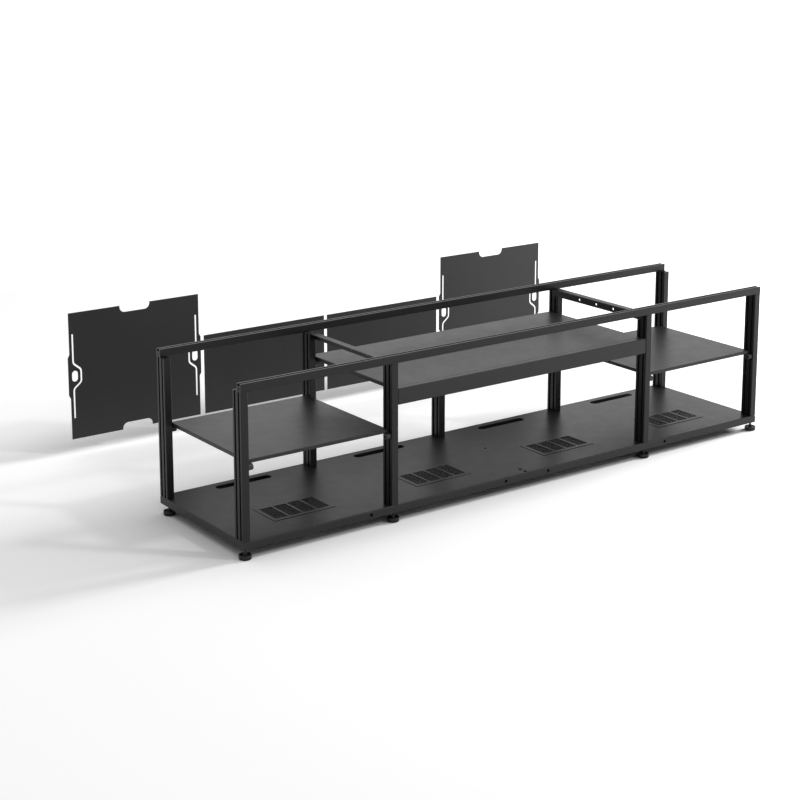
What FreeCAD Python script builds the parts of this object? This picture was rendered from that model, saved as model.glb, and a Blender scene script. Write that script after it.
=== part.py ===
import FreeCAD, Part
import math
import os

# Low open projector cabinet, in millimetres.
# X runs to the right, Y to the back and Z up. The origin is on the floor,
# at the middle of the sole of the rear middle foot.

# Overall frame
bay_pitch = 530.0          # middle to middle of two neighbouring posts
frame_depth = 504.0        # front faces of the front posts to rear faces of the rear posts
floor_gap = 30.0           # floor to the lower edge of the pan
post_length = 450.0
cut_overrun = 5.0          # how far every cutting tool reaches past its wall

# Posts: black extrusion with two T-slots in each wide face
post_width = 24.0
post_depth = 48.0
post_corner = 1.5          # bevel of its corners
slot_mouth = 8.2
slot_lip = 1.8             # wall beside the mouth
slot_cavity = 13.0         # inner width of the slot
slot_depth = 6.2           # face to the floor of the slot
slot_spacing = 21.0        # middle to middle of the two slots
core_spacing = 24.0        # middle to middle of the two screw bores
core_bore = 8.4

# Top rails: half as deep as a post, one T-slot on top
rail_height = 25.0
rail_corner = 1.0
rail_lip = 2.0
rail_cavity = 12.8
rail_slot_depth = 7.0
rail_bore = 6.8

# Cross rails: angles between the two top rails
angle_wall = 2.0
angle_drop = 24.0          # height of the upright leg
angle_bend = 3.0           # outer bend radius
angle_hole = 8.0
angle_hole_pitch = 86.6
angle_hole_count = 3
angle_hole_drop = 12.0     # top of the angle to the row of holes

# Bottom pan
pan_height = 25.0
pan_sheet = 2.0
pan_bend = 3.0             # outer bend radius
cable_slot_length = 203.0
cable_slot_width = 31.5
cable_slot_inset = 43.0    # rear edge of the pan to the middle of the slot
lip_hole = 7.0
lip_hole_inner = 89.5      # middle of the pan to the inner pair of holes in the front lip
lip_hole_outer = 619.5     # middle of the pan to the outer pair
spare_hole = 6.0           # single hole in the middle of the pan
spare_hole_side = 45.0
spare_hole_inset = 275.0   # front edge of the pan to that hole

# Vent grilles in the pan
vent_window_width = 42.0
vent_window_depth = 98.0
vent_window_gap = 8.3
vent_window_count = 4
vent_border = 14.0         # plate round the windows
vent_plate = 1.2
vent_inset = 160.5         # front edge of the pan to the middle of the grille
vent_opening_margin = 4.0  # pan opening beyond the windows
vent_mesh_sheet = 1.0
vent_mesh_gap = 0.3        # mesh edge to the pan opening

# Side shelves
side_shelf_top = 297.0     # floor to the shelf
side_shelf_front_inset = 16.0
side_shelf_rear_inset = 31.0
shelf_sheet = 1.5
shelf_lip = 11.0
shelf_bend = 2.5
shelf_gap = 2.0            # shelf edge to the post

# Projector deck
deck_top = 424.0           # floor to the deck
deck_apron_gap = 0.5       # apron to the front edge of the deck
deck_rear_inset = 10.5
deck_sheet = 2.0
deck_lip = 12.0
deck_bend = 3.0
deck_gap = 2.0

# Apron in front of the deck
apron_top = 424.0          # floor to its upper flange, level with the deck
apron_height = 52.0
apron_front_inset = 1.0
apron_bottom_flange = 14.0
apron_end_flange = 20.0
apron_sheet = 2.0
apron_bend = 3.0
apron_gap = 0.3            # end flange to the post
apron_screw_share = 0.5    # height of its screws on the end flanges

# Shelf supports: round studs screwed into nuts in the T-slots
support_diameter = 20.0
support_length = 17.0
support_seat = 0.2         # support to what lies on it
slot_play = 0.2            # support to the post, and nut to the lips of the slot
slot_screw = 6.0
slot_screw_hole = 6.4
apron_head = 10.0
apron_head_height = 6.0
nut_width = 11.2
nut_length = 16.0
nut_thick = 3.8

# Screws that hold the frame together
frame_screw = 8.0
frame_screw_hole = 8.4
frame_screw_bite = 22.0    # length inside a post
rail_head = 12.0
rail_head_height = 4.0
button_head = 14.0
button_head_height = 3.0
hex_head = 13.0            # across the flats
hex_head_height = 5.3
lock_nut_height = 6.5
shank_sides = 6            # hidden shanks, and the holes round them, are plain bars
head_sides = 8             # screw heads and the open bores
round_sides = 12           # foot pads and shelf supports

# Levelling feet
pad_diameter = 40.0
pad_rim = 12.0             # height of the straight rim
pad_socket = 5.0           # sole to the floor of the socket for the stud
pad_cone_height = 1.0
pad_hub = 2.0              # height of the hub over the cone
pad_hub_diameter = 18.0
stud_top_margin = 30.0     # stud inside the post
stud_collar = 5.0

# Rear panels, shown taken off behind the frame
panel_sheet = 1.5
panel_floor_gap = 1.0      # pan to the lower edge
tall_panel_height = 446.0
short_panel_height = 291.0
panel_side_gap = 1.0       # tall panel to the post
panel_in_slot = 5.5        # how far a short panel or a catch reaches into a slot
panel_travel = 692.0       # from its slots straight back to where it stands
notch_width = 116.0
notch_depth = 24.0
notch_corner = 20.0
latch_slot = 6.0
latch_slot_middle = 13.0   # panel edge to the middle of the slot
latch_slot_length = 297.0
latch_bow_middle = 41.5    # panel edge to the middle of the bow
latch_bow_length = 90.0    # length of the bow along the edge
latch_bow_flat = 44.0
latch_bend = 17.0          # radius of its bends, on the middle line
latch_height_share = 0.5   # middle of the latch on the panel
finger_width = 22.0
finger_height = 38.0
finger_middle = 18.0       # panel edge to the middle of the hole
catch_length = 132.0
catch_ramp = 12.0

# Derived places
pan_under = floor_gap + pan_height - pan_sheet
pan_top = floor_gap + pan_height
post_top = pan_top + post_length
rail_top = post_top + rail_height
rail_depth = post_depth / 2
core_inset = (post_depth - core_spacing) / 2
frame_front = -(frame_depth - post_depth + core_inset)
frame_rear = frame_front + frame_depth
frame_width = 4 * bay_pitch + post_width
half_width = frame_width / 2
rear_post_front = frame_rear - post_depth
slot_front = (post_depth - slot_spacing) / 2
slot_rear = slot_front + slot_spacing
outer_x = 2 * bay_pitch
bay_clear = bay_pitch - post_width
wide_bay_clear = 2 * bay_pitch - post_width
panel_home = rear_post_front + slot_rear
panel_place = panel_home + panel_travel
vent_width = vent_window_count * (vent_window_width + vent_window_gap) - vent_window_gap
vent_y = frame_front + vent_inset
bay_middles = [(n - 1.5) * bay_pitch for n in range(4)]
post_middles = [-outer_x, -bay_pitch, bay_pitch, outer_x]


def vec(x, y, z):
    return FreeCAD.Vector(x, y, z)


def block(x0, x1, y0, y1, z0, z1):
    return Part.makeBox(x1 - x0, y1 - y0, z1 - z0, vec(x0, y0, z0))


def rod(x, y, z, diameter, length, axis=None):
    return Part.makeCylinder(diameter / 2, length, vec(x, y, z), axis or vec(0, 0, 1))


def ring(diameter, z, sides):
    """Corners of an outline of many equal sides round the Z axis."""
    turns = [math.radians((n + 0.5) * 360 / sides) for n in range(sides)]
    return [vec(math.cos(turn) * diameter / 2, math.sin(turn) * diameter / 2, z)
            for turn in turns]


def turned(rings):
    """Solid with flat sides between rings of corners, from the lowest ring to the highest."""
    faces = [outline(rings[0]), outline(rings[-1])]
    for low, high in zip(rings, rings[1:]):
        for n in range(len(low)):
            faces.append(outline([low[n - 1], low[n], high[n], high[n - 1]]))
    return Part.makeSolid(Part.makeShell(faces))


def bar(x, y, z, diameter, length, axis=None, sides=shank_sides):
    """Straight bar with flat sides, its corners on the diameter."""
    body = outline(ring(diameter, 0, sides)).extrude(vec(0, 0, length))
    if axis:
        body.Placement = FreeCAD.Placement(vec(0, 0, 0), FreeCAD.Rotation(vec(0, 0, 1), axis))
    body.translate(vec(x, y, z))
    return body


def union(shapes):
    result = shapes[0].fuse(shapes[1:]) if len(shapes) > 1 else shapes[0]
    return result.removeSplitter()


def group(shapes):
    return Part.makeCompound(shapes)


def outline(points):
    """Flat face through the given points."""
    return Part.Face(Part.makePolygon(points + points[:1]))


def edges_along(shape, axis):
    """Straight edges of a solid that run along one axis."""
    found = []
    for edge in shape.Edges:
        ends = [vertex.Point for vertex in edge.Vertexes]
        if len(ends) != 2:
            continue
        run = ends[1] - ends[0]
        if run.Length > 0 and abs(abs(run.dot(axis)) - run.Length) < run.Length / 1000:
            found.append(edge)
    return found


def bevelled(solid, size, axis):
    """The solid with its edges along one axis bevelled."""
    return solid.makeChamfer(size, edges_along(solid, axis))


def hexagon(x, y, z, flats, height):
    """Six-sided bar, given across its flats."""
    return bar(x, y, z, flats / math.cos(math.radians(30)), height, None, 6)


def t_slot(width, cavity, lip, depth):
    """Section of a T-slot: the face is X = 0, the slot runs in along +X, over Z = 0."""
    mouth = outline([vec(-cut_overrun, -width / 2, 0), vec(lip, -width / 2, 0),
                     vec(lip, width / 2, 0), vec(-cut_overrun, width / 2, 0)])
    room = outline([vec(lip, -cavity / 2, 0), vec(depth, -cavity / 2, 0),
                    vec(depth, cavity / 2, 0), vec(lip, cavity / 2, 0)])
    return mouth.fuse(room).removeSplitter()


def post(x, y_front, length):
    """Two-slot extrusion that stands on the pan."""
    left = x - post_width / 2
    right = x + post_width / 2
    body = bevelled(block(left, right, y_front, y_front + post_depth,
                          pan_top, pan_top + length), post_corner, vec(0, 0, 1))
    tools = []
    for y in (y_front + slot_front, y_front + slot_rear):
        for face, turn in ((left, 0), (right, 180)):
            slot = t_slot(slot_mouth, slot_cavity, slot_lip, slot_depth)
            slot.rotate(vec(0, 0, 0), vec(0, 0, 1), turn)
            slot.translate(vec(face, y, pan_top - cut_overrun))
            tools.append(slot.extrude(vec(0, 0, length + 2 * cut_overrun)))
    for y in (y_front + core_inset, y_front + core_inset + core_spacing):
        tools.append(bar(x, y, pan_top - cut_overrun, core_bore, length + 2 * cut_overrun))
    return body.cut(tools)


def top_rail(y_front):
    """Full-width extrusion on the posts, with its slot open upwards."""
    body = bevelled(block(-half_width, half_width, y_front, y_front + rail_depth,
                          post_top, rail_top), rail_corner, vec(1, 0, 0))
    middle = y_front + rail_depth / 2
    slot = t_slot(slot_mouth, rail_cavity, rail_lip, rail_slot_depth)
    slot.rotate(vec(0, 0, 0), vec(0, 1, 0), 90)
    slot.translate(vec(-half_width - cut_overrun, middle, rail_top))
    length = frame_width + 2 * cut_overrun
    tools = [slot.extrude(vec(length, 0, 0))]
    bore_z = post_top + (rail_height - rail_slot_depth) / 2
    tools.append(bar(-half_width - cut_overrun, middle, bore_z, rail_bore, length,
                     vec(1, 0, 0), head_sides))
    for x in post_middles:
        tools.append(bar(x, middle, post_top - cut_overrun, frame_screw_hole, rail_height))
    return body.cut(tools)


def cross_rail(side):
    """Angle over the inner posts: one leg lies on them, the other hangs beside the wide bay."""
    inner = bay_pitch - post_width / 2
    outer = bay_pitch + post_width / 2
    y0 = frame_front + rail_depth
    y1 = frame_rear - rail_depth
    top = post_top + angle_wall
    body = block(inner - angle_wall, outer, y0, y1, top - angle_drop, top)
    edge = [e for e in edges_along(body, vec(0, 1, 0))
            if e.CenterOfMass.z > top - angle_wall and e.CenterOfMass.x < inner]
    body = body.makeFillet(angle_bend, edge)
    hollow = block(inner, outer + cut_overrun, y0 - cut_overrun, y1 + cut_overrun,
                   top - angle_drop - cut_overrun, post_top)
    tools = [hollow]
    middle = (y0 + y1) / 2
    for n in range(angle_hole_count):
        y = middle + (n - (angle_hole_count - 1) / 2) * angle_hole_pitch
        tools.append(rod(inner - angle_wall - cut_overrun, y, top - angle_hole_drop,
                         angle_hole, angle_wall + 2 * cut_overrun, vec(1, 0, 0)))
    for y in (frame_front + core_inset + core_spacing, rear_post_front + core_inset):
        tools.append(bar(bay_pitch, y, post_top - cut_overrun, frame_screw_hole,
                         angle_wall + 2 * cut_overrun))
    body = body.cut(tools)
    if side < 0:
        body = body.mirror(vec(0, 0, 0), vec(1, 0, 0))
    return body


def channel(width, height, sheet, bend):
    """Section of a sheet folded down at both ends: X across, Z up, its top at Z = 0."""
    half = width / 2
    outer = block(-half, half, 0, sheet, -height, 0)
    inner = block(-half + sheet, half - sheet, -cut_overrun, sheet + cut_overrun,
                  -height - cut_overrun, -sheet)
    outer = outer.makeFillet(bend, [e for e in edges_along(outer, vec(0, 1, 0))
                                    if e.CenterOfMass.z > -bend])
    folded = outer.cut(inner)
    front = [f for f in folded.Faces if f.BoundBox.YMax < sheet / 2]
    return front[0]


def tray(x0, x1, y0, y1, z0, z1, sheet, bend):
    """Sheet folded down on all four sides, with a relief at each corner of the folds."""
    height = z1 - z0
    long_fold = channel(y1 - y0, height, sheet, bend)
    long_fold.rotate(vec(0, 0, 0), vec(0, 0, 1), 90)
    long_fold.translate(vec(x0 + bend, (y0 + y1) / 2, z1))
    short_fold = channel(x1 - x0, height, sheet, bend)
    short_fold.translate(vec((x0 + x1) / 2, y0 + bend, z1))
    pieces = [long_fold.extrude(vec(x1 - x0 - 2 * bend, 0, 0)),
              short_fold.extrude(vec(0, y1 - y0 - 2 * bend, 0))]
    for y in (y0, y1 - sheet):
        pieces.append(block(x0, x1, y, y + sheet, z0, z1 - bend))
    for x in (x0, x1 - sheet):
        pieces.append(block(x, x + sheet, y0, y1, z0, z1 - bend))
    return union(pieces)


def obround(x, y, z, length, width, height):
    """Upright tool with round ends, long in X."""
    reach = (length - width) / 2
    return union([block(x - reach, x + reach, y - width / 2, y + width / 2, z, z + height),
                  rod(x - reach, y, z, width, height),
                  rod(x + reach, y, z, width, height)])


def post_places():
    """X and front Y of every post that stands on the pan."""
    places = [(x, frame_front) for x in post_middles]
    places += [(x, rear_post_front) for x in post_middles]
    places.append((0, rear_post_front))
    return places


def foot_places():
    """Each foot screws into the front bore of its post."""
    return [(x, y + core_inset) for x, y in post_places()]


def base_pan():
    body = tray(-half_width, half_width, frame_front, frame_rear, floor_gap, pan_top,
                pan_sheet, pan_bend)
    low = pan_under - cut_overrun
    through = pan_sheet + 2 * cut_overrun
    tools = []
    for x in bay_middles:
        tools.append(obround(x, frame_rear - cable_slot_inset, low,
                             cable_slot_length, cable_slot_width, through))
        half_x = vent_width / 2 + vent_opening_margin
        half_y = vent_window_depth / 2 + vent_opening_margin
        tools.append(block(x - half_x, x + half_x, vent_y - half_y, vent_y + half_y,
                           low, low + through))
    for core in (core_inset, core_inset + core_spacing):
        tools.append(rod(0, frame_front + core, low, frame_screw_hole, through))
        for x, y in post_places():
            tools.append(bar(x, y + core, low, frame_screw_hole, through))
    tools.append(bar(spare_hole_side, frame_front + spare_hole_inset, low, spare_hole,
                     through, None, head_sides))
    lip_middle = floor_gap + pan_height / 2
    for x in (-lip_hole_outer, -lip_hole_inner, lip_hole_inner, lip_hole_outer):
        tools.append(rod(x, frame_front - cut_overrun, lip_middle, lip_hole,
                         pan_sheet + 2 * cut_overrun, vec(0, 1, 0)))
    return body.cut(tools)


def vent_grille(x):
    """Thin plate with four windows, laid over the opening in the pan."""
    half_x = vent_width / 2 + vent_border
    half_y = vent_window_depth / 2 + vent_border
    plate = block(x - half_x, x + half_x, vent_y - half_y, vent_y + half_y,
                  pan_top, pan_top + vent_plate)
    windows = []
    for n in range(vent_window_count):
        left = x - vent_width / 2 + n * (vent_window_width + vent_window_gap)
        windows.append(block(left, left + vent_window_width,
                             vent_y - vent_window_depth / 2, vent_y + vent_window_depth / 2,
                             pan_top - cut_overrun, pan_top + vent_plate + cut_overrun))
    return plate.cut(windows)


def vent_mesh_inserts():
    """Fine mesh under each grille, inside the opening of the pan."""
    half_x = vent_width / 2 + vent_opening_margin - vent_mesh_gap
    half_y = vent_window_depth / 2 + vent_opening_margin - vent_mesh_gap
    return group([block(x - half_x, x + half_x, vent_y - half_y, vent_y + half_y,
                        pan_top - vent_mesh_sheet, pan_top) for x in bay_middles])


def side_shelf(side):
    x = side * 1.5 * bay_pitch
    half = bay_clear / 2 - shelf_gap
    return tray(x - half, x + half, frame_front + side_shelf_front_inset,
                frame_rear - side_shelf_rear_inset,
                side_shelf_top - shelf_lip, side_shelf_top, shelf_sheet, shelf_bend)


def projector_deck():
    half = wide_bay_clear / 2 - deck_gap
    front = frame_front + apron_front_inset + apron_end_flange + deck_apron_gap
    return tray(-half, half, front, frame_rear - deck_rear_inset,
                deck_top - deck_lip, deck_top, deck_sheet, deck_bend)


def projector_apron():
    """Folded front beam: a face, a flange at the top and the bottom, and two end flanges."""
    half = wide_bay_clear / 2 - apron_gap
    front = frame_front + apron_front_inset
    low = apron_top - apron_height
    back = front + apron_end_flange
    ends = channel(2 * half, apron_end_flange, apron_sheet, apron_bend)
    ends.rotate(vec(0, 0, 0), vec(1, 0, 0), 90)
    ends.translate(vec(0, front, low + apron_bend))
    beam = channel(apron_height, apron_end_flange, apron_sheet, apron_bend)
    beam.rotate(vec(0, 0, 0), vec(1, 0, 0), 90)
    beam.rotate(vec(0, 0, 0), vec(0, 1, 0), 90)
    beam.translate(vec(-half + apron_bend, front, (low + apron_top) / 2))
    beam = beam.extrude(vec(2 * half - 2 * apron_bend, 0, 0))
    beam = beam.cut(block(-half, half, front + apron_bottom_flange, back + cut_overrun,
                          low - cut_overrun, low + apron_height / 2))
    body = union([beam, ends.extrude(vec(0, 0, apron_height - 2 * apron_bend))])
    return body.cut(bar(-half - cut_overrun, frame_front + slot_front, apron_screw_z(),
                        slot_screw_hole, 2 * half + 2 * cut_overrun, vec(1, 0, 0)))


def apron_screw_z():
    return apron_top - apron_height * apron_screw_share


def support_half():
    """Middle of a support to the flat on its upper side."""
    return support_diameter / 2 * math.cos(math.pi / round_sides)


def shelf_support_places():
    """Wall X, side of that wall, Y and height of each support of one side shelf."""
    places = []
    z = side_shelf_top - shelf_lip - support_seat - support_half()
    for y in (frame_front + slot_front, rear_post_front + slot_front):
        places.append((bay_pitch + post_width / 2, 1, y, z))
        places.append((outer_x - post_width / 2, -1, y, z))
    return places


def deck_support_places():
    """The same for the deck, which lies between the inner posts."""
    places = []
    z = deck_top - deck_lip - support_seat - support_half()
    for y in (frame_front + slot_rear, rear_post_front + slot_front):
        places.append((-bay_pitch + post_width / 2, 1, y, z))
        places.append((bay_pitch - post_width / 2, -1, y, z))
    return places


def apron_support_places():
    y = frame_front + slot_front
    return [(-bay_pitch + post_width / 2, 1, y, apron_screw_z()),
            (bay_pitch - post_width / 2, -1, y, apron_screw_z())]


def shelf_support(wall, side, y, z):
    """Round stud whose thinner end goes into the slot nut."""
    axis = vec(side, 0, 0)
    start = wall + side * slot_play
    body = bar(start, y, z, support_diameter, support_length, axis, round_sides)
    shank = slot_reach() + slot_play
    return union([body, bar(start, y, z, slot_screw, shank, vec(-side, 0, 0))])


def slot_reach():
    """How far a screw reaches behind the face of the post: through the lips and the nut."""
    return slot_lip + slot_play + nut_thick


def apron_screw(wall, side, y, z):
    """Screw through the end flange of the apron."""
    axis = vec(side, 0, 0)
    seat = wall + side * (apron_gap + apron_sheet)
    shank = bar(seat, y, z, slot_screw, apron_gap + apron_sheet + slot_reach(),
                vec(-side, 0, 0))
    head = bar(seat, y, z, apron_head, apron_head_height, axis, head_sides)
    return union([shank, head])


def slot_nut(wall, side, y, z):
    """Nut that slides in the T-slot behind its lips."""
    near = wall - side * (slot_lip + slot_play)
    far = near - side * nut_thick
    body = block(min(near, far), max(near, far), y - nut_width / 2, y + nut_width / 2,
                 z - nut_length / 2, z + nut_length / 2)
    return body.cut(bar(near + side * cut_overrun, y, z, slot_screw_hole,
                        nut_thick + 2 * cut_overrun, vec(-side, 0, 0)))


def shelf_supports(places):
    return group([shelf_support(*place) for place in places])


def slot_nuts(places):
    return group([slot_nut(*place) for place in places])


def mirrored(shape):
    return shape.mirror(vec(0, 0, 0), vec(1, 0, 0))


def rail_screws():
    """Low-head screws in the slot of each top rail, down into the posts."""
    screws = []
    seat = rail_top - rail_slot_depth
    low = post_top - frame_screw_bite
    for y in (frame_front + rail_depth / 2, frame_rear - rail_depth / 2):
        for x in post_middles:
            shank = bar(x, y, low, frame_screw, seat - low)
            head = bar(x, y, seat, rail_head, rail_head_height, None, head_sides)
            screws.append(union([shank, head]))
    return group(screws)


def cross_rail_screws():
    """Flat button-head screws through the flat leg of each cross rail."""
    screws = []
    seat = post_top + angle_wall
    low = post_top - frame_screw_bite
    for x in (-bay_pitch, bay_pitch):
        for y in (frame_front + core_inset + core_spacing, rear_post_front + core_inset):
            shank = bar(x, y, low, frame_screw, seat - low)
            head = bar(x, y, seat, button_head, button_head_height, None, head_sides)
            screws.append(union([shank, head]))
    return group(screws)


def post_base_screws():
    """Hex screws from under the pan into the rear bore of each post."""
    screws = []
    for x, y in post_places():
        y += core_inset + core_spacing
        head = hexagon(x, y, pan_under - hex_head_height, hex_head, hex_head_height)
        shank = bar(x, y, pan_under, frame_screw, pan_sheet + frame_screw_bite)
        screws.append(union([head, shank]))
    return group(screws)


def foot_lock_nuts():
    """Nut on each stud, against the underside of the pan."""
    nuts = []
    for x, y in foot_places():
        low = pan_under - lock_nut_height
        bore = bar(x, y, low - cut_overrun, frame_screw_hole,
                   lock_nut_height + 2 * cut_overrun)
        nuts.append(hexagon(x, y, low, hex_head, lock_nut_height).cut(bore))
    return group(nuts)


def pad_height():
    return pad_rim + pad_cone_height + pad_hub


def foot_pad(x, y):
    """Thick round pad: straight rim, nearly flat top, and a low hub with a socket."""
    pad = turned([ring(pad_diameter, 0, round_sides),
                  ring(pad_diameter, pad_rim, round_sides),
                  ring(pad_hub_diameter, pad_rim + pad_cone_height, round_sides),
                  ring(pad_hub_diameter, pad_height(), round_sides)])
    pad = pad.cut(bar(0, 0, pad_socket, frame_screw_hole, pad_height()))
    pad.translate(vec(x, y, 0))
    return pad


def foot_stud(x, y):
    """Threaded stud with a hexagon over the pad, up through the pan into the post."""
    top = pan_top + stud_top_margin
    return union([bar(x, y, pad_socket, frame_screw, top - pad_socket),
                  hexagon(x, y, pad_height(), hex_head, stud_collar)])


def in_panel_plane(points, y):
    return [vec(x, y, z) for x, z in points]


def panel_plate(points):
    """Sheet cut to an outline in the XZ plane, at the place of the panels."""
    face = outline(in_panel_plane(points, panel_place - panel_sheet / 2))
    return face.extrude(vec(0, panel_sheet, 0))


def panel_tool(points):
    """Cutting tool through the sheet."""
    depth = panel_sheet + 2 * cut_overrun
    face = outline(in_panel_plane(points, panel_place - depth / 2))
    return face.extrude(vec(0, depth, 0))


def notch(x, edge, inward):
    """Cable notch with rounded corners; inward is +1 at the lower edge, -1 at the upper."""
    floor = edge + inward * notch_depth
    outside = edge - inward * cut_overrun
    half = notch_width / 2
    tool = panel_tool([(x - half, outside), (x - half, floor), (x + half, floor),
                       (x + half, outside)])
    corners = [e for e in edges_along(tool, vec(0, 1, 0))
               if abs(e.CenterOfMass.z - floor) < notch_depth / 2]
    return tool.makeFillet(notch_corner, corners)


def rounded_path(points, radius):
    """Open wire of straight runs, joined by arcs of one radius."""
    edges = []
    start = points[0]
    for before, corner, after in zip(points, points[1:], points[2:]):
        back = (before - corner).normalize()
        ahead = (after - corner).normalize()
        half_angle = back.getAngle(ahead) / 2
        reach = radius / math.tan(half_angle)
        middle = (back + ahead).normalize()
        centre = corner + middle * (radius / math.sin(half_angle))
        first = corner + back * reach
        last = corner + ahead * reach
        edges.append(Part.makeLine(start, first))
        edges.append(Part.Arc(first, centre - middle * radius, last).toShape())
        start = last
    edges.append(Part.makeLine(start, points[-1]))
    return Part.Wire(edges)


def latch_slit(edge, side, z):
    """Slit with square ends that frees a spring strip; it bows in round the finger hole."""
    near = edge - side * latch_slot_middle
    far = edge - side * latch_bow_middle
    end = latch_slot_length / 2
    bow = latch_bow_length / 2
    flat = latch_bow_flat / 2
    depth = panel_sheet + 2 * cut_overrun
    start = panel_place - depth / 2
    path = [(near, -end), (near, -bow), (far, -flat), (far, flat), (near, bow), (near, end)]
    path = [(x, z + h) for x, h in path]
    wire = rounded_path(in_panel_plane(path, start), latch_bend)
    strip = wire.makeOffset2D(latch_slot / 2, 0, True, False).extrude(vec(0, depth, 0))
    reach = latch_bow_middle + latch_slot
    return strip.common(block(edge - reach, edge + reach, start, start + depth,
                              z - end, z + end))


def finger_hole(edge, side, z):
    x = edge - side * finger_middle
    reach = (finger_height - finger_width) / 2
    depth = panel_sheet + 2 * cut_overrun
    y = panel_place - depth / 2
    tool = block(x - finger_width / 2, x + finger_width / 2, y, y + depth, z - reach, z + reach)
    return union([tool,
                  rod(x, y, z - reach, finger_width, depth, vec(0, 1, 0)),
                  rod(x, y, z + reach, finger_width, depth, vec(0, 1, 0))])


def tall_rear_panel(side):
    """Panel of an outer bay, with a spring catch on each side that snaps into a post slot."""
    x = side * 1.5 * bay_pitch
    half = bay_clear / 2 - panel_side_gap
    low = pan_top + panel_floor_gap
    high = low + tall_panel_height
    middle = low + tall_panel_height * latch_height_share
    reach = half + panel_side_gap + panel_in_slot
    catch = catch_length / 2
    ramp = catch + catch_ramp
    right = [(half, low), (half, middle - ramp), (reach, middle - catch),
             (reach, middle + catch), (half, middle + ramp), (half, high)]
    left = [(-px, pz) for px, pz in reversed(right)]
    plate = panel_plate([(x + px, pz) for px, pz in right + left])
    tools = [notch(x, low, 1), notch(x, high, -1)]
    for way in (-1, 1):
        tools.append(latch_slit(x + way * half, way, middle))
        tools.append(finger_hole(x + way * half, way, middle))
    return plate.cut(tools)


def short_rear_panel(side):
    """Plain panel of the wide bay, whose side edges lie in the post slots."""
    near = post_width / 2 - panel_in_slot
    far = bay_pitch - post_width / 2 + panel_in_slot
    low = pan_top + panel_floor_gap
    high = low + short_panel_height
    return panel_plate([(side * near, low), (side * far, low),
                        (side * far, high), (side * near, high)])


def build_nodes():
    nodes = {"base_pan": base_pan()}
    for n, x in enumerate(bay_middles):
        nodes["vent_grille_%d" % (n + 1)] = vent_grille(x)
    nodes["vent_mesh_inserts"] = vent_mesh_inserts()
    names = ["left_outer", "left_inner", "right_inner", "right_outer"]
    for name, x in zip(names, post_middles):
        nodes["front_post_" + name] = post(x, frame_front, post_length)
        nodes["rear_post_" + name] = post(x, rear_post_front, post_length)
    middle_length = deck_top - deck_lip - support_seat - pan_top
    nodes["rear_post_middle"] = post(0, rear_post_front, middle_length)
    nodes["front_top_rail"] = top_rail(frame_front)
    nodes["rear_top_rail"] = top_rail(frame_rear - rail_depth)
    nodes["left_cross_rail"] = cross_rail(-1)
    nodes["right_cross_rail"] = cross_rail(1)
    nodes["left_side_shelf"] = side_shelf(-1)
    nodes["right_side_shelf"] = side_shelf(1)
    nodes["projector_deck"] = projector_deck()
    nodes["projector_apron"] = projector_apron()
    shelf_places = shelf_support_places()
    nodes["right_shelf_supports"] = shelf_supports(shelf_places)
    nodes["right_shelf_slot_nuts"] = slot_nuts(shelf_places)
    nodes["left_shelf_supports"] = mirrored(nodes["right_shelf_supports"])
    nodes["left_shelf_slot_nuts"] = mirrored(nodes["right_shelf_slot_nuts"])
    deck_places = deck_support_places()
    apron_places = apron_support_places()
    nodes["deck_supports"] = shelf_supports(deck_places)
    nodes["apron_screws"] = group([apron_screw(*place) for place in apron_places])
    nodes["deck_and_apron_slot_nuts"] = slot_nuts(deck_places + apron_places)
    nodes["rail_screws"] = rail_screws()
    nodes["cross_rail_screws"] = cross_rail_screws()
    nodes["post_base_screws"] = post_base_screws()
    nodes["foot_lock_nuts"] = foot_lock_nuts()
    rows = ["front_" + name for name in names] + ["rear_" + name for name in names]
    for name, (x, y) in zip(rows + ["rear_middle"], foot_places()):
        nodes["foot_pad_" + name] = foot_pad(x, y)
        nodes["foot_stud_" + name] = foot_stud(x, y)
    nodes["rear_panel_left_tall"] = tall_rear_panel(-1)
    nodes["rear_panel_right_tall"] = tall_rear_panel(1)
    nodes["rear_panel_left_short"] = short_rear_panel(-1)
    nodes["rear_panel_right_short"] = short_rear_panel(1)
    return nodes


def main():
    os.makedirs("parts", exist_ok=True)
    for name, shape in build_nodes().items():
        shape.exportStep("parts/" + name + ".step")
        solids = shape.Solids
        print(name, len(solids), round(sum(s.Volume for s in solids)), shape.isValid())


main()
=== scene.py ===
import math

import bmesh
import bpy
from mathutils import Matrix, Vector


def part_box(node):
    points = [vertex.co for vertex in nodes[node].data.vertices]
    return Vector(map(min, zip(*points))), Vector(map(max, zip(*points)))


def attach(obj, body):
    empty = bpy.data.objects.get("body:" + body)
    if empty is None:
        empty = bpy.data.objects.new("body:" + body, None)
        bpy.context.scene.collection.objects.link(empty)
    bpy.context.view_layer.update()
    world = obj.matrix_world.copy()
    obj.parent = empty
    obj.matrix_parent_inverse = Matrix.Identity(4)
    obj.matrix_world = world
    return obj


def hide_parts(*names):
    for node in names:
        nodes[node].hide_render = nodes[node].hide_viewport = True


# Looks of the low projector cabinet: finishes, smooth small parts, floor, light and camera.
# Everything is in metres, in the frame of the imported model.

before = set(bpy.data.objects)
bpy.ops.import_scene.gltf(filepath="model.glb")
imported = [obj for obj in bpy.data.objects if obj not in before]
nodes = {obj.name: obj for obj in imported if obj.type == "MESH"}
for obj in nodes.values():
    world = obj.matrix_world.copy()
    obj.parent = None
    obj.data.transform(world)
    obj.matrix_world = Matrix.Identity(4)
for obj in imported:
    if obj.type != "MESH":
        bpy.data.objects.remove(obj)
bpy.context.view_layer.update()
mm = 0.001

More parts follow.
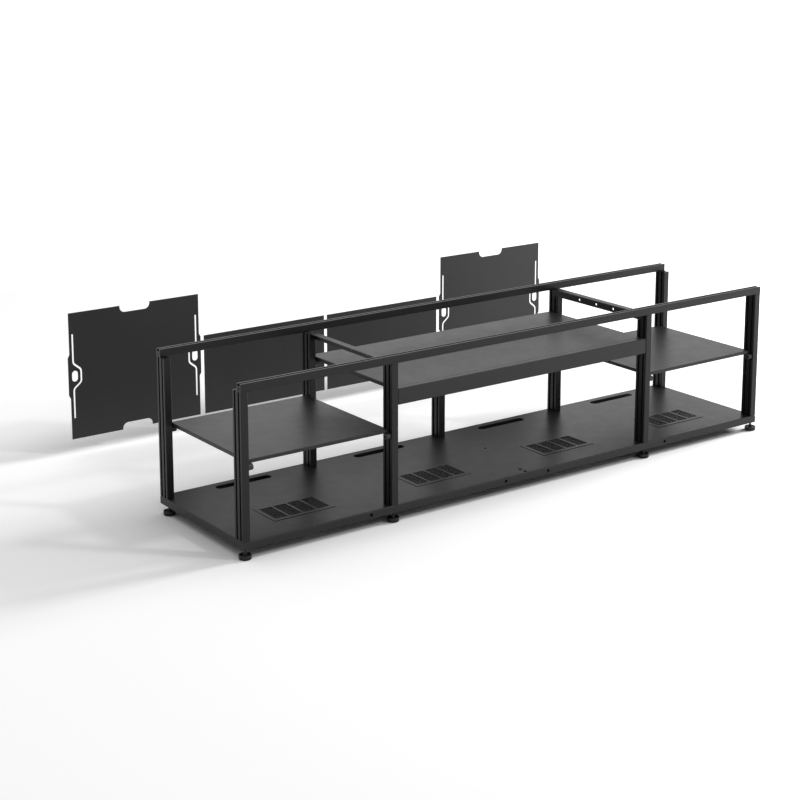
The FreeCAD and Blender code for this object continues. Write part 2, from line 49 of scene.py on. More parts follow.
# Places that the frame doesn't state; bores and slots are measured from the front face of a post
post_names = ("left_outer", "left_inner", "right_inner", "right_outer")
bore_front = 12 * mm
bore_rear = 36 * mm
slot_front = 13.5 * mm
slot_rear = 34.5 * mm
rail_slot_depth = 7 * mm
apron_wall = 2.3 * mm       # gap and end flange between a post and the head of its screw
pan_sheet = 2 * mm

# Levelling feet
steps = 48                  # points round every turned part
thread_steps = 16           # points round a thread
rows_per_pitch = 4
thread_pitch = 1.25 * mm
thread_depth = 0.55 * mm
stud_radius = 4 * mm
stud_collar = 5 * mm        # height of the hexagon collar over the pad
stud_flats = 10 * mm        # across the flats of that collar
stud_sunk = 2 * mm          # depth of the stud in the pad
pad_hub = 6 * mm            # radius of the raised middle of the pad

# Screws: radius and height of the head, radius of the shank, and length under the head
rail_screw = (6 * mm, 4 * mm, 4 * mm, 40 * mm)
cross_rail_screw = (7 * mm, 3 * mm, 4 * mm, 24 * mm)
apron_screw = (5 * mm, 6 * mm, 3 * mm, 8 * mm)
screw_key = 2.5 * mm        # half of their hexagon key, across the flats
socket_share = 0.6          # depth of that socket as a share of the head

# Hexagon screws and lock nuts under the pan
hex_flats = 13 * mm
hex_head_height = 5.3 * mm
lock_nut_height = 6.5 * mm
lock_nut_bore = 4.2 * mm    # radius

# Supports of the shelves and the deck
support_radius = 10 * mm
support_length = 17 * mm
support_gap = 0.2 * mm      # between the post and the support
support_tail = 5.8 * mm     # length of the tail in the slot
support_tail_radius = 3 * mm
support_key = 4 * mm
support_key_depth = 9 * mm

# Near-black closed nuts in the pan, painted shade for the dark seen through its holes: places along
# the lip, and X, distance from the lip and radius of the rest
lip_holes = (-619.5 * mm, -89.5 * mm, 89.5 * mm, 619.5 * mm)
lip_hole_radius = 3.5 * mm
spare_holes = ((0, bore_front, 4.2 * mm), (0, bore_rear, 4.2 * mm), (45 * mm, 275 * mm, 2.75 * mm))

# Rivets behind the vents
rivet_radius = 1.8 * mm
rivet_side = 11 * mm        # left of the vent plate
rivet_back = 8.5 * mm       # behind the vent plate

# Perforated sheet under the vents
vent_count = 4
hole_pitch = 3.6 * mm
hole_size = 2.8 * mm
mesh_drop = 0.15 * mm       # below the underside of the vent plate
mesh_thick = 0.7 * mm
vent_border = 14 * mm
vent_windows = 4
vent_window_gap = 8.3 * mm

# Tones of the finishes
coat_grey = 0.0128
# painted light: the rear panels carry the same coat, made lighter for the light they catch
panel_grey_painted_lighter = 0.0195
# painted highlight on the edges and bends of the coat
coat_edge_highlight = (0.07, 0.07, 0.072)
anodised_tones = ((0.0085, 0.0085, 0.0087), (0.012, 0.012, 0.0123))
# painted highlight on the edges and slot lips of the extrusions
anodised_edge_highlight = (0.1, 0.1, 0.102)
steel_tones = ((0.02, 0.02, 0.0205), (0.034, 0.033, 0.0315))
plastic_tones = ((0.012, 0.012, 0.012), (0.035, 0.035, 0.035))
sheet_tones = ((0.019, 0.019, 0.0194), (0.026, 0.026, 0.0265))
# painted shade in hollows, corners and close to other parts
hollow_shade_tone = (0.002, 0.002, 0.002)
# painted shade in the dish of the pads
dish_shade_tone = (0.004, 0.004, 0.004)
hollow_rough = 0.85
dish_rough = 0.7

# Camera
camera_place = (-3.4915, -4.5686, 1.8884)
camera_turn = math.radians(36.0)
camera_tilt = math.radians(11.21)
camera_lens = 77.85
camera_sensor = 36.0
camera_shift = -0.2

# Floor and light
floor_half = 60.0
floor_tone = (0.93, 0.93, 0.93)
floor_lift = 0.3            # glow of the open floor near the cabinet, for camera and glossy rays
floor_reach = 0.7           # how far round the cabinet that glow fades, which paints shade on the floor close to it
floor_shut = 0.25           # share of open space at which it is gone
white_from = 1.6            # distance from the middle at which the floor starts to turn white
white_at = 6.0
sky_light = 0.35
key_power = 550.0           # large soft lamp at the right
key_place = (6.0, -0.84, 2.52)
key_size = 1.8
key_aim = (0, -0.2, 0.25)
side_strength = 0.53
side_from = (0.7, -0.72, 0.75)
side_spread = math.radians(6)
back_strength = 0.12        # wide and weak, over the far right corner
back_from = (0.59, 0.81, 0.45)
back_spread = math.radians(50)


def neutral(grey):
    """Grey with a trace of blue, as black finishes have."""
    return grey, grey, grey * 1.02


def node_material(name):
    """New material with its node tree, its main shader, and object coordinates."""
    material = bpy.data.materials.new(name)
    material.use_nodes = True
    tree = material.node_tree
    shader = tree.nodes["Principled BSDF"]
    place = tree.nodes.new("ShaderNodeTexCoord").outputs["Object"]
    return material, tree, shader, place


def add_noise(tree, place, scale, detail=2.0, stretch=(1, 1, 1)):
    mapping = tree.nodes.new("ShaderNodeMapping")
    mapping.inputs["Scale"].default_value = stretch
    tree.links.new(place, mapping.inputs["Vector"])
    noise = tree.nodes.new("ShaderNodeTexNoise")
    noise.inputs["Scale"].default_value = scale
    noise.inputs["Detail"].default_value = detail
    tree.links.new(mapping.outputs["Vector"], noise.inputs["Vector"])
    return noise.outputs["Fac"]


def add_range(tree, value, low_in, high_in, low_out, high_out, course="LINEAR"):
    ranger = tree.nodes.new("ShaderNodeMapRange")
    ranger.interpolation_type = course
    ranger.inputs["From Min"].default_value = low_in
    ranger.inputs["From Max"].default_value = high_in
    ranger.inputs["To Min"].default_value = low_out
    ranger.inputs["To Max"].default_value = high_out
    tree.links.new(value, ranger.inputs["Value"])
    return ranger.outputs["Result"]


def add_math(tree, operation, first, second):
    node = tree.nodes.new("ShaderNodeMath")
    node.operation = operation
    tree.links.new(first, node.inputs[0])
    tree.links.new(second, node.inputs[1])
    return node.outputs["Value"]


def add_mix(tree, share, colour_a, colour_b):
    """Mix of two colours, each a tuple or a socket."""
    mix = tree.nodes.new("ShaderNodeMix")
    mix.data_type = "RGBA"
    tree.links.new(share, mix.inputs["Factor"])
    for socket, colour in ((mix.inputs[6], colour_a), (mix.inputs[7], colour_b)):
        if isinstance(colour, tuple):
            socket.default_value = (*colour, 1)
        else:
            tree.links.new(colour, socket)
    return mix.outputs[2]


def add_edge_highlight_share(tree, radius, full):
    """1 on edges and bends, where a highlight is painted, and 0 on flat ground; also the rounded
    normal there.

    The share is 1 where the cosine of the turned normal is down to full."""
    bevel = tree.nodes.new("ShaderNodeBevel")
    bevel.samples = 4
    bevel.inputs["Radius"].default_value = radius
    ground = tree.nodes.new("ShaderNodeNewGeometry").outputs["True Normal"]
    dot = tree.nodes.new("ShaderNodeVectorMath")
    dot.operation = "DOT_PRODUCT"
    tree.links.new(bevel.outputs["Normal"], dot.inputs[0])
    tree.links.new(ground, dot.inputs[1])
    return add_range(tree, dot.outputs["Value"], 0.995, full, 0, 1), bevel.outputs["Normal"]


def add_openness(tree, reach):
    """Ambient occlusion: 1 on open ground, falling towards 0 in hollows and close to other things,
    where shade falls; it drives the painted shade.
    """
    shade = tree.nodes.new("ShaderNodeAmbientOcclusion")
    shade.samples = 8
    shade.inputs["Distance"].default_value = reach
    return shade.outputs["AO"]


def add_bump(tree, height, strength, distance, normal=None):
    bump = tree.nodes.new("ShaderNodeBump")
    bump.inputs["Strength"].default_value = strength
    bump.inputs["Distance"].default_value = distance
    tree.links.new(height, bump.inputs["Height"])
    if normal is not None:
        tree.links.new(normal, bump.inputs["Normal"])
    return bump.outputs["Normal"]


def seen_share(tree):
    """1 for camera, glossy and transmission rays, and 0 for the light that falls on things."""
    path = tree.nodes.new("ShaderNodeLightPath")
    share = path.outputs["Is Camera Ray"]
    for name in ("Is Glossy Ray", "Is Transmission Ray"):
        share = add_math(tree, "MAXIMUM", share, path.outputs[name])
    return share


def paint_hollow_shade(tree, hollow_shade, tone, rough, dark, matt):
    """Tone and roughness with painted shade in the hollows: dark and matt there."""
    tone = add_mix(tree, hollow_shade, tone, dark)
    rough = add_math(tree, "MAXIMUM", rough, add_range(tree, hollow_shade, 0, 1, 0, matt))
    return tone, rough


def connect(tree, shader, tone, rough, normal):
    tree.links.new(tone, shader.inputs["Base Color"])
    tree.links.new(rough, shader.inputs["Roughness"])
    tree.links.new(normal, shader.inputs["Normal"])


def powder_coat(name, grey):
    """Charcoal coat with a fine orange-peel grain, faint tone changes, a painted highlight on its
    edges and bends, and painted shade in its hollows.
    """
    material, tree, shader, place = node_material(name)
    shader.inputs["Specular IOR Level"].default_value = 0.31
    cloud = add_range(tree, add_noise(tree, place, 6, 2), 0.3, 0.7, 0, 1)
    speck = add_range(tree, add_noise(tree, place, 900, 1), 0.4, 0.8, 0, 0.4)
    tone = add_mix(tree, cloud, neutral(grey * 0.95), neutral(grey * 1.06))
    tone = add_mix(tree, speck, tone, neutral(grey * 1.5))
    # painted highlight: the tone turns lighter on edges and bends
    edge, rounded = add_edge_highlight_share(tree, 1.6 * mm, 0.9)
    tone = add_mix(tree, edge, tone, coat_edge_highlight)
    rough = add_range(tree, add_noise(tree, place, 25, 2), 0.3, 0.7, 0.37, 0.41)
    # painted shade: hollows and places close to other parts turn dark and matt
    hollow_shade = add_range(tree, add_openness(tree, 7 * mm), 0.4, 0.88, 1, 0)
    tone, rough = paint_hollow_shade(tree, hollow_shade, tone, rough, hollow_shade_tone, hollow_rough)
    grain = add_noise(tree, place, 800, 2)
    connect(tree, shader, tone, rough, add_bump(tree, grain, 0.1, 0.05 * mm, rounded))
    return material


def anodised(name, stretch):
    """Black anodised extrusion: satin, with faint die lines along its length, a painted highlight on
    its edges and painted shade in its slots and hollows.
    """
    material, tree, shader, place = node_material(name)
    shader.inputs["Metallic"].default_value = 0.15
    shader.inputs["Specular IOR Level"].default_value = 0.3
    lines = add_noise(tree, place, 1, 3, stretch)
    tone = add_mix(tree, add_range(tree, lines, 0.3, 0.7, 0, 1), *anodised_tones)
    # painted highlight: the tone turns lighter on the edges and slot lips
    edge, rounded = add_edge_highlight_share(tree, 0.5 * mm, 0.8)
    tone = add_mix(tree, edge, tone, anodised_edge_highlight)
    rough = add_range(tree, lines, 0.25, 0.75, 0.33, 0.41)
    # painted shade: slots, hollows and places close to other parts turn dark and matt
    hollow_shade = add_range(tree, add_openness(tree, 9 * mm), 0.3, 0.75, 1, 0)
    tone, rough = paint_hollow_shade(tree, hollow_shade, tone, rough, hollow_shade_tone, hollow_rough)
    connect(tree, shader, tone, rough, add_bump(tree, lines, 0.08, 0.04 * mm, rounded))
    return material


def black_steel(name, share, metal, gloss):
    """Dull black oxide on turned steel, a little brown where it has worn, with painted shade in its
    hollows.

    Share is that of its usual tone, metal and gloss are the shader's own levels."""
    material, tree, shader, place = node_material(name)
    shader.inputs["Metallic"].default_value = metal
    shader.inputs["Specular IOR Level"].default_value = gloss
    cloud = add_range(tree, add_noise(tree, place, 160, 4), 0.35, 0.7, 0, 1)
    dark, worn = (tuple(share * level for level in tone) for tone in steel_tones)
    tone = add_mix(tree, cloud, dark, worn)
    rough = add_range(tree, cloud, 0, 1, 0.36, 0.5)
    # painted shade: hollows and places close to other parts turn dark and matt
    hollow_shade = add_range(tree, add_openness(tree, 7 * mm), 0.25, 0.6, 1, 0)
    tone, rough = paint_hollow_shade(tree, hollow_shade, tone, rough, hollow_shade_tone, hollow_rough)
    grain = add_noise(tree, place, 1500, 2)
    connect(tree, shader, tone, rough, add_bump(tree, grain, 0.1, 0.05 * mm))
    return material


def pad_plastic():
    """Moulded black plastic with a spark-eroded grain, scuffs at the rim, and painted shade that
    makes the dish dark.
    """
    material, tree, shader, place = node_material("moulded_black_plastic")
    shader.inputs["Specular IOR Level"].default_value = 0.3
    scuff = add_range(tree, add_noise(tree, place, 260, 5), 0.55, 0.8, 0, 0.5)
    tone = add_mix(tree, scuff, *plastic_tones)
    rough = add_range(tree, scuff, 0, 0.6, 0.36, 0.55)
    # painted shade: the dish and other hollows turn dark and matt
    hollow_shade = add_range(tree, add_openness(tree, 14 * mm), 0.55, 0.95, 1, 0)
    tone, rough = paint_hollow_shade(tree, hollow_shade, tone, rough, dish_shade_tone, dish_rough)
    grain = add_noise(tree, place, 2200, 2)
    connect(tree, shader, tone, rough, add_bump(tree, grain, 0.2, 0.05 * mm))
    return material


def perforated_steel():
    """Painted perforated sheet, with paint build-up as small tone changes."""
    material, tree, shader, place = node_material("perforated_painted_sheet")
    shader.inputs["Specular IOR Level"].default_value = 0.2
    cloud = add_range(tree, add_noise(tree, place, 120, 4), 0.35, 0.7, 0, 1)
    tone = add_mix(tree, cloud, *sheet_tones)
    rough = add_range(tree, cloud, 0, 1, 0.5, 0.62)
    grain = add_noise(tree, place, 900, 2)
    connect(tree, shader, tone, rough, add_bump(tree, grain, 0.15, 0.05 * mm))
    return material


def set_finish(thing, material):
    thing.data.materials.clear()
    thing.data.materials.append(material)


def dress_nodes(finishes):
    """Every carried-over node gets the first finish whose word is in its name."""
    for name, thing in nodes.items():
        for word, material in finishes:
            if word in name:
                set_finish(thing, material)
                break


def ring_radius(radius, six, turn):
    """Radius of a round ring, or of a hexagon with that half width across its flats."""
    if not six:
        return radius
    sixth = math.pi / 3
    return radius / math.cos((turn + sixth / 2) % sixth - sixth / 2)


def turned_mesh(mesh, rings, matrix):
    """Adds a skin through rings about the local Z axis; a ring is (height, radius, six).

    A first or last ring with radius 0 closes the skin in a point."""
    loops = []
    for height, radius, six in rings:
        if radius == 0:
            loops.append([mesh.verts.new(matrix @ Vector((0, 0, height)))])
            continue
        loop = []
        for n in range(steps):
            turn = 2 * math.pi * n / steps
            reach = ring_radius(radius, six, turn)
            point = Vector((reach * math.cos(turn), reach * math.sin(turn), height))
            loop.append(mesh.verts.new(matrix @ point))
        loops.append(loop)
    for low, high in zip(loops, loops[1:]):
        for n in range(steps):
            after = (n + 1) % steps
            corners = [low[n % len(low)], low[after % len(low)],
                       high[after % len(high)], high[n % len(high)]]
            mesh.faces.new(list(dict.fromkeys(corners)))


def arc_rings(height, radius, size, start, end, count=4):
    """Round rings along an arc about (height, radius), between two angles from the axis."""
    rings = []
    for n in range(count + 1):
        turn = math.radians(start + (end - start) * n / count)
        rings.append((height + size * math.cos(turn), radius + size * math.sin(turn), False))
    return rings


def finish_piece(name, mesh, material, body, sharp=30):
    """Makes a shaded piece from a bmesh and lets it ride on its body."""
    bmesh.ops.recalc_face_normals(mesh, faces=mesh.faces)
    data = bpy.data.meshes.new(name)
    mesh.to_mesh(data)
    mesh.free()
    data.shade_smooth()
    data.set_sharp_from_angle(angle=math.radians(sharp))
    thing = bpy.data.objects.new(name, data)
    bpy.context.scene.collection.objects.link(thing)
    set_finish(thing, material)
    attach(thing, body)
    return thing


def upright(x, y, z):
    return Matrix.Translation((x, y, z))


def lying(x, y, z, side):
    """Local Z points along +X for side 1 and along -X for side -1."""
    return Matrix.Translation((x, y, z)) @ Matrix.Rotation(side * math.pi / 2, 4, "Y")


def centre(node):
    low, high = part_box(node)
    return tuple((a + b) / 2 for a, b in zip(low, high))


def post_spots():
    """Name, X and front Y of every post."""
    spots = []
    for row in ("front", "rear"):
        for name in post_names:
            spots.append((row + "_" + name, row + "_post_" + name))
    spots.append(("rear_middle", "rear_post_middle"))
    return [(name, centre(node)[0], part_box(node)[0][1]) for name, node in spots]


def pad_rings(radius, top):
    """Thick rim with rounded edges, a dished top, and a low hub round the stud."""
    rim = 14 * mm
    dish = 11.5 * mm
    wall = 2.5 * mm
    soft = 1.2 * mm
    foot = 4 * mm
    rings = [(0, 0, False), (0, radius - foot, False)]
    rings += arc_rings(foot, radius - foot, foot, 180, 90)
    rings += arc_rings(rim - soft, radius - soft, soft, 90, 0)
    rings += arc_rings(rim - soft, radius - wall, soft, 0, -90)
    rings += [(dish + 0.8 * mm, radius - wall - soft, False), (dish, radius - wall - 2 * soft, False)]
    rings += [(dish, pad_hub + 0.8 * mm, False), (dish + 0.8 * mm, pad_hub, False)]
    rings += arc_rings(top - soft, pad_hub - soft, soft, 90, 0)
    rings += [(top, stud_radius + 0.3 * mm, False), (top - stud_sunk, stud_radius, False)]
    rings += [(top - stud_sunk, 0, False)]
    return rings


def thread(mesh, x, y, low, high):
    """Helical thread: the radius rises and falls once in each pitch."""
    rows = int((high - low) / thread_pitch * rows_per_pitch)
    loops = []
    for row in range(rows + 1):
        height = low + (high - low) * row / rows
        loop = []
        for n in range(thread_steps):
            phase = (height / thread_pitch - n / thread_steps) % 1
            radius = stud_radius - thread_depth * abs(2 * phase - 1)
            turn = 2 * math.pi * n / thread_steps
            loop.append(mesh.verts.new((x + radius * math.cos(turn),
                                        y + radius * math.sin(turn), height)))
        loops.append(loop)
    for under, over in zip(loops, loops[1:]):
        for n in range(thread_steps):
            after = (n + 1) % thread_steps
            mesh.faces.new((under[n], under[after], over[after], over[n]))
    mesh.faces.new(loops[0][::-1])
    mesh.faces.new(loops[-1])


def hex_rings(flats, low, high, bore=0):
    """Hexagon with rounded-off corners at both ends, and a round bore if one is given."""
    half = flats / 2
    bevel = 0.9 * mm
    inner = (low, bore, False), (high, bore, False)
    rings = [inner[0], (low, half - bevel / 2, False), (low + bevel, half, True),
             (high - bevel, half, True), (high, half - bevel / 2, False), inner[1]]
    if bore:
        rings.append(inner[0])
    return rings


def feet(plastic, steel):
    """A pad and a threaded stud under every post."""
    for name, _, _ in post_spots():
        pad_node = "foot_pad_" + name
        stud_node = "foot_stud_" + name
        low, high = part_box(pad_node)
        px, py, _ = centre(pad_node)
        mesh = bmesh.new()
        turned_mesh(mesh, pad_rings((high[0] - low[0]) / 2, high[2]), upright(px, py, 0))
        pad = finish_piece("levelling_pad_" + name, mesh, plastic, "foot_" + name)
        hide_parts(pad_node)
        mesh = bmesh.new()
        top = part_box(stud_node)[1][2]
        turned_mesh(mesh, hex_rings(stud_flats, high[2], high[2] + stud_collar),
                    upright(px, py, 0))
        thread(mesh, px, py, high[2] - stud_sunk, top)
        stud = finish_piece("levelling_stud_" + name, mesh, steel, "foot_" + name,
                            50)
        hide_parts(stud_node)


def socket_rings(head_top, half, depth):
    """Hexagon socket from the top of a head down to a closed floor."""
    return [(head_top, half + 0.4 * mm, False), (head_top - 0.3 * mm, half, True),
            (head_top - depth, half, True), (head_top - depth - 0.8 * mm, 0, False)]


def support_rings():
    """Round support stud with a soft outer edge and a deep hexagon socket."""
    radius = support_radius
    soft = 1 * mm
    edge = 0.4 * mm
    rings = [(-support_tail, 0, False), (-support_tail, support_tail_radius, False),
             (0, support_tail_radius, False), (0, radius - edge, False), (edge, radius, False)]
    rings += arc_rings(support_length - soft, radius - soft, soft, 90, 0)
    return rings + socket_rings(support_length, support_key, support_key_depth)


def shelf_supports(steel):
    """Supports of both side shelves and of the deck, on the walls that face each bay."""
    groups = []
    for side, way in (("left", -1), ("right", 1)):
        node = side + "_shelf_supports"
        walls = [(side + "_inner", way), (side + "_outer", -way)]
        groups.append((node, side + "_shelf", walls, slot_front))
    groups.append(("deck_supports", "frame", [("left_inner", 1), ("right_inner", -1)], slot_rear))
    for node, body, walls, front_slot in groups:
        z = centre(node)[2]
        mesh = bmesh.new()
        for post_name, way in walls:
            for row, slot in (("front", front_slot), ("rear", slot_front)):
                low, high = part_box(row + "_post_" + post_name)
                wall = high[0] if way > 0 else low[0]
                turned_mesh(mesh, support_rings(),
                            lying(wall + way * support_gap, low[1] + slot, z, way))
        piece = finish_piece("turned_" + node, mesh, steel, body)
        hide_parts(node)


def cap_rings(radius, height, shank, reach):
    """Cap head with a soft top edge and a hexagon socket, on a plain shank."""
    soft = 0.5 * mm
    rings = [(-reach, 0, False), (-reach, shank, False), (0, shank, False), (0, radius, False)]
    rings += arc_rings(height - soft, radius - soft, soft, 90, 0)
    return rings + socket_rings(height, screw_key, height * socket_share)


def button_rings(radius, height, shank, reach):
    """Domed button head with a hexagon socket, on a plain shank."""
    rings = [(-reach, 0, False), (-reach, shank, False), (0, shank, False), (0, radius, False)]
    dome = math.radians(60)
    count = 5
    for n in range(1, count + 1):
        turn = dome * n / count
        rings.append((height * math.sin(turn) / math.sin(dome), radius * math.cos(turn), False))
    return rings + socket_rings(height, screw_key, height * socket_share)


def corner_spots():
    """Name, X and front Y of the posts that carry a rail screw."""
    return [(name, x, y) for name, x, y in post_spots() if name != "rear_middle"]


def rail_screws(steel):
    """Low heads in the slots of the top rails."""
    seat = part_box("front_top_rail")[1][2] - rail_slot_depth
    mesh = bmesh.new()
    for name, x, _ in corner_spots():
        rail = "front_top_rail" if name.startswith("front") else "rear_top_rail"
        turned_mesh(mesh, cap_rings(*rail_screw), upright(x, centre(rail)[1], seat))
    piece = finish_piece("low_head_rail_screws", mesh, steel, "frame")
    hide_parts("rail_screws")


def cross_rail_screws(steel):
    """Button heads on the ends of the cross rails."""
    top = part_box("left_cross_rail")[1][2]
    mesh = bmesh.new()
    for name, x, y in corner_spots():
        if name.endswith("inner"):
            bore = bore_rear if name.startswith("front") else bore_front
            turned_mesh(mesh, button_rings(*cross_rail_screw), upright(x, y + bore, top))
    piece = finish_piece("button_head_screws", mesh, steel, "frame")
    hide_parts("cross_rail_screws")


def apron_screws(steel):
    """Cap heads in the end flanges of the apron."""
    z = centre("apron_screws")[2]
    mesh = bmesh.new()
    for post_name, way in (("left_inner", 1), ("right_inner", -1)):
        low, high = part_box("front_post_" + post_name)
        wall = high[0] if way > 0 else low[0]
        turned_mesh(mesh, cap_rings(*apron_screw),
                    lying(wall + way * apron_wall, low[1] + slot_front, z, way))
    piece = finish_piece("cap_head_apron_screws", mesh, steel, "frame")
    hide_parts("apron_screws")


def base_screws(steel):
    """Hexagon screws and lock nuts under the pan."""
    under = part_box("base_pan")[1][2] - pan_sheet
    screws = bmesh.new()
    nuts = bmesh.new()
    for _, x, y in post_spots():
        turned_mesh(screws, hex_rings(hex_flats, -hex_head_height, 0),
                    upright(x, y + bore_rear, under))
        turned_mesh(nuts, hex_rings(hex_flats, -lock_nut_height, 0, lock_nut_bore),
                    upright(x, y + bore_front, under))
    piece = finish_piece("hexagon_base_screws", screws, steel, "frame")
    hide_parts("post_base_screws")
    piece = finish_piece("hexagon_lock_nuts", nuts, steel, "frame")
    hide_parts("foot_lock_nuts")


def hole_cell(mesh, x, y, width, depth, top, low):
    """One rectangle of sheet with a round hole, and the wall of the hole."""
    outer = [(1, 0), (1, 1), (0, 1), (-1, 1), (-1, 0), (-1, -1), (0, -1), (1, -1)]
    rim = []
    hole = []
    floor = []
    for n, (a, b) in enumerate(outer):
        turn = math.pi * n / 4
        hx = x + hole_size / 2 * math.cos(turn)
        hy = y + hole_size / 2 * math.sin(turn)
        rim.append(mesh.verts.new((x + a * width / 2, y + b * depth / 2, top)))
        hole.append(mesh.verts.new((hx, hy, top)))
        floor.append(mesh.verts.new((hx, hy, low)))
    for n in range(8):
        after = (n + 1) % 8
        mesh.faces.new((rim[n], rim[after], hole[after], hole[n]))
        mesh.faces.new((hole[n], hole[after], floor[after], floor[n]))


def plain_cell(mesh, x0, x1, y0, y1, top):
    corners = [(x0, y0), (x1, y0), (x1, y1), (x0, y1)]
    mesh.faces.new([mesh.verts.new((x, y, top)) for x, y in corners])


def perforated_window(mesh, x0, x1, y0, y1, top, low):
    """Rows of holes, every second one shifted by half a pitch, between plain ends."""
    columns = round((x1 - x0) / hole_pitch)
    rows = round((y1 - y0) / (hole_pitch * math.sqrt(3) / 2))
    width = (x1 - x0) / columns
    depth = (y1 - y0) / rows
    for row in range(rows):
        glow_with_painted_shade = y0 + row * depth
        y = glow_with_painted_shade + depth / 2
        if row % 2:
            plain_cell(mesh, x0, x0 + width / 2, glow_with_painted_shade, glow_with_painted_shade + depth, top)
            plain_cell(mesh, x1 - width / 2, x1, glow_with_painted_shade, glow_with_painted_shade + depth, top)
            middles = [x0 + (n + 1) * width for n in range(columns - 1)]
        else:
            middles = [x0 + (n + 0.5) * width for n in range(columns)]
        for x in middles:
            hole_cell(mesh, x, y, width, depth, top, low)


def vent_boxes():
    """Lowest and highest corner of every vent plate."""
    return [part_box("vent_grille_%d" % (n + 1)) for n in range(vent_count)]


def vent_mesh(material):
    """Perforated sheet under the four windows of each vent, with a plain strip between them."""
    mesh = bmesh.new()
    for low, high in vent_boxes():
        top = low[2] - mesh_drop
        x0 = low[0] + vent_border
        x1 = high[0] - vent_border
        y0 = low[1] + vent_border
        y1 = high[1] - vent_border
        window = (x1 - x0 - (vent_windows - 1) * vent_window_gap) / vent_windows
        for place in range(vent_windows):
            left = x0 + place * (window + vent_window_gap)
            perforated_window(mesh, left, left + window, y0, y1, top, top - mesh_thick)
            if place:
                plain_cell(mesh, left - vent_window_gap, left, y0, y1, top)
    piece = finish_piece("perforated_vent_sheet", mesh, material, "frame")
    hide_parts("vent_mesh_inserts")


def pan_rivets(steel):
    """Small blind rivet behind the left end of each vent plate."""
    mesh = bmesh.new()
    pan_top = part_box("base_pan")[1][2]
    radius = rivet_radius
    for low, high in vent_boxes():
        rings = [(0, radius, False), (0.3 * mm, radius, False), (0.6 * mm, radius * 0.7, False),
                 (0.65 * mm, radius * 0.35, False), (0.2 * mm, radius * 0.3, False),
                 (0.2 * mm, 0, False)]
        turned_mesh(mesh, rings, upright(low[0] - rivet_side, high[1] + rivet_back, pan_top))
    finish_piece("pan_rivets", mesh, steel, "frame")


def closed_nut(mesh, hole, place):
    """Closed rivet nut for a hole of this radius; its axis runs inwards from the sheet's face."""
    proud = 0.8 * mm
    end = 13 * mm
    bottom = end - 1 * mm
    bore = hole - 0.5 * mm
    body = hole - 0.05 * mm
    flange = hole + 1.7 * mm
    bulge = hole + 1.5 * mm
    rings = [(bottom, 0, False), (bottom, bore, False), (-proud, bore, False),
             (-proud, flange - 0.4 * mm, False), (-proud / 2, flange, False), (0, flange, False),
             (0, body, False), (pan_sheet, body, False), (pan_sheet, bulge, False),
             (pan_sheet + 2 * mm, bulge, False), (pan_sheet + 3.5 * mm, body, False),
             (end, body, False), (end, 0, False)]
    turned_mesh(mesh, rings, place)


def pan_hole_shade_nuts(steel):
    """Near-black, nearly matt nuts in the four holes of the front lip, in the two spare post holes
    and the single one; they are painted shade for the dark seen through these holes.
    """
    low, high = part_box("base_pan")
    z = (low[2] + high[2]) / 2
    mesh = bmesh.new()
    for x in lip_holes:
        place = upright(x, low[1], z) @ Matrix.Rotation(-math.pi / 2, 4, "X")
        closed_nut(mesh, lip_hole_radius, place)
    finish_piece("front_lip_shade_nuts", mesh, steel, "frame")
    mesh = bmesh.new()
    for x, inset, radius in spare_holes:
        place = upright(x, low[1] + inset, high[2]) @ Matrix.Rotation(math.pi, 4, "X")
        closed_nut(mesh, radius, place)
    finish_piece("spare_hole_shade_nuts", mesh, steel, "frame")


def pale_floor():
    """Floor that keeps the shadow, with painted shade where its glow fades close to the cabinet, and
    turns white further off.
    """
    mesh = bmesh.new()
    bmesh.ops.create_grid(mesh, x_segments=1, y_segments=1, size=floor_half)
    data = bpy.data.meshes.new("floor")
    mesh.to_mesh(data)
    mesh.free()
    floor = bpy.data.objects.new("floor", data)
    bpy.context.scene.collection.objects.link(floor)
    material, tree, shader, place = node_material("pale_floor")
    shader.inputs["Base Color"].default_value = (*floor_tone, 1)
    shader.inputs["Roughness"].default_value = 0.9
    shader.inputs["Specular IOR Level"].default_value = 0.2
    shader.inputs["Emission Color"].default_value = (1, 1, 1, 1)
    # painted shade: the glow fades where the floor is hemmed in by the cabinet
    glow_with_painted_shade = add_range(tree, add_openness(tree, floor_reach), floor_shut, 1, 0, floor_lift)
    length = tree.nodes.new("ShaderNodeVectorMath")
    length.operation = "LENGTH"
    tree.links.new(place, length.inputs[0])
    far = add_range(tree, length.outputs["Value"], white_from, white_at, 0, 1, "SMOOTHSTEP")
    lift = add_math(tree, "MAXIMUM", glow_with_painted_shade, far)
    glow = add_math(tree, "MULTIPLY", seen_share(tree), lift)
    tree.links.new(glow, shader.inputs["Emission Strength"])
    set_finish(floor, material)


def studio_sky():
    """Plain sky that lights at its own level and is white where it is seen."""
    world = bpy.data.worlds.new("studio")
    bpy.context.scene.world = world
    world.use_nodes = True
    tree = world.node_tree
    sky = tree.nodes["Background"]
    sky.inputs["Color"].default_value = (1, 1, 1, 1)
    level = add_range(tree, seen_share(tree), 0, 1, sky_light, 1)
    tree.links.new(level, sky.inputs["Strength"])


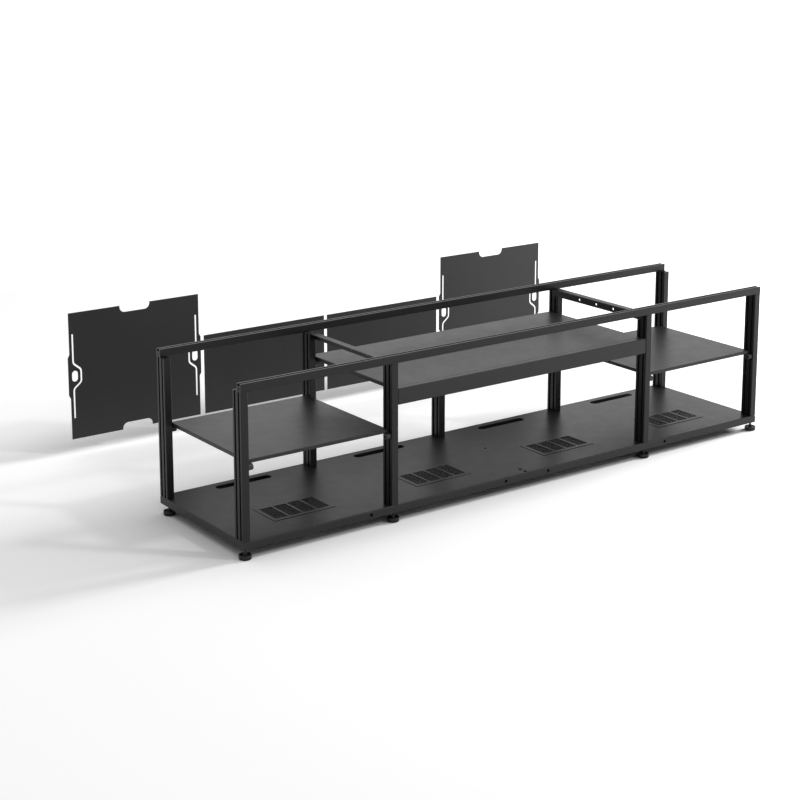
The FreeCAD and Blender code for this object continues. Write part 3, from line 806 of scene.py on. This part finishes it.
def sun(name, strength, come_from, spread):
    light = bpy.data.lights.new(name, "SUN")
    light.energy = strength
    light.angle = spread
    thing = bpy.data.objects.new(name, light)
    thing.rotation_euler = Vector(come_from).to_track_quat("Z", "Y").to_euler()
    bpy.context.scene.collection.objects.link(thing)


def soft_lamp(name, power, place, size):
    """Square area lamp that faces the cabinet and isn't mirrored in its flat tops."""
    light = bpy.data.lights.new(name, "AREA")
    light.energy = power
    light.size = size
    thing = bpy.data.objects.new(name, light)
    thing.location = place
    back = Vector(place) - Vector(key_aim)
    thing.rotation_euler = back.to_track_quat("Z", "Y").to_euler()
    thing.visible_glossy = False
    bpy.context.scene.collection.objects.link(thing)


def add_camera():
    camera = bpy.data.cameras.new("camera")
    camera.lens = camera_lens
    camera.sensor_width = camera_sensor
    camera.shift_y = camera_shift
    camera.clip_end = 500
    thing = bpy.data.objects.new("camera", camera)
    thing.location = camera_place
    thing.rotation_euler = (math.pi / 2 - camera_tilt, 0, -camera_turn)
    bpy.context.scene.collection.objects.link(thing)
    bpy.context.scene.camera = thing


def main():
    coat = powder_coat("powder_coat_charcoal", coat_grey)
    # the same coat made lighter on the rear panels: painted light
    panels = powder_coat("powder_coat_panels_painted_lighter", panel_grey_painted_lighter)
    posts = anodised("black_anodised_upright", (900, 900, 5))
    rails = anodised("black_anodised_rail", (5, 900, 900))
    steel = black_steel("black_oxide_steel", 1, 0.2, 0.4)
    # near-black, nearly matt steel: painted shade for the dark inside the pan's holes
    hole_shade_steel = black_steel("near_black_hole_shade_steel", 0.1, 0, 0.03)
    plastic = pad_plastic()
    sheet = perforated_steel()
    dress_nodes([("rear_panel", panels), ("_post_", posts), ("top_rail", rails),
                 ("foot_pad", plastic), ("foot", steel),
                 ("screws", steel), ("slot_nuts", steel), ("supports", steel),
                 ("vent_mesh", sheet), ("", coat)])
    feet(plastic, steel)
    shelf_supports(steel)
    rail_screws(steel)
    cross_rail_screws(steel)
    apron_screws(steel)
    base_screws(steel)
    vent_mesh(sheet)
    pan_rivets(steel)
    pan_hole_shade_nuts(hole_shade_steel)
    pale_floor()
    studio_sky()
    soft_lamp("key_light", key_power, key_place, key_size)
    sun("side_light", side_strength, side_from, side_spread)
    sun("back_light", back_strength, back_from, back_spread)
    add_camera()
    bpy.context.scene.view_settings.view_transform = "Standard"


main()
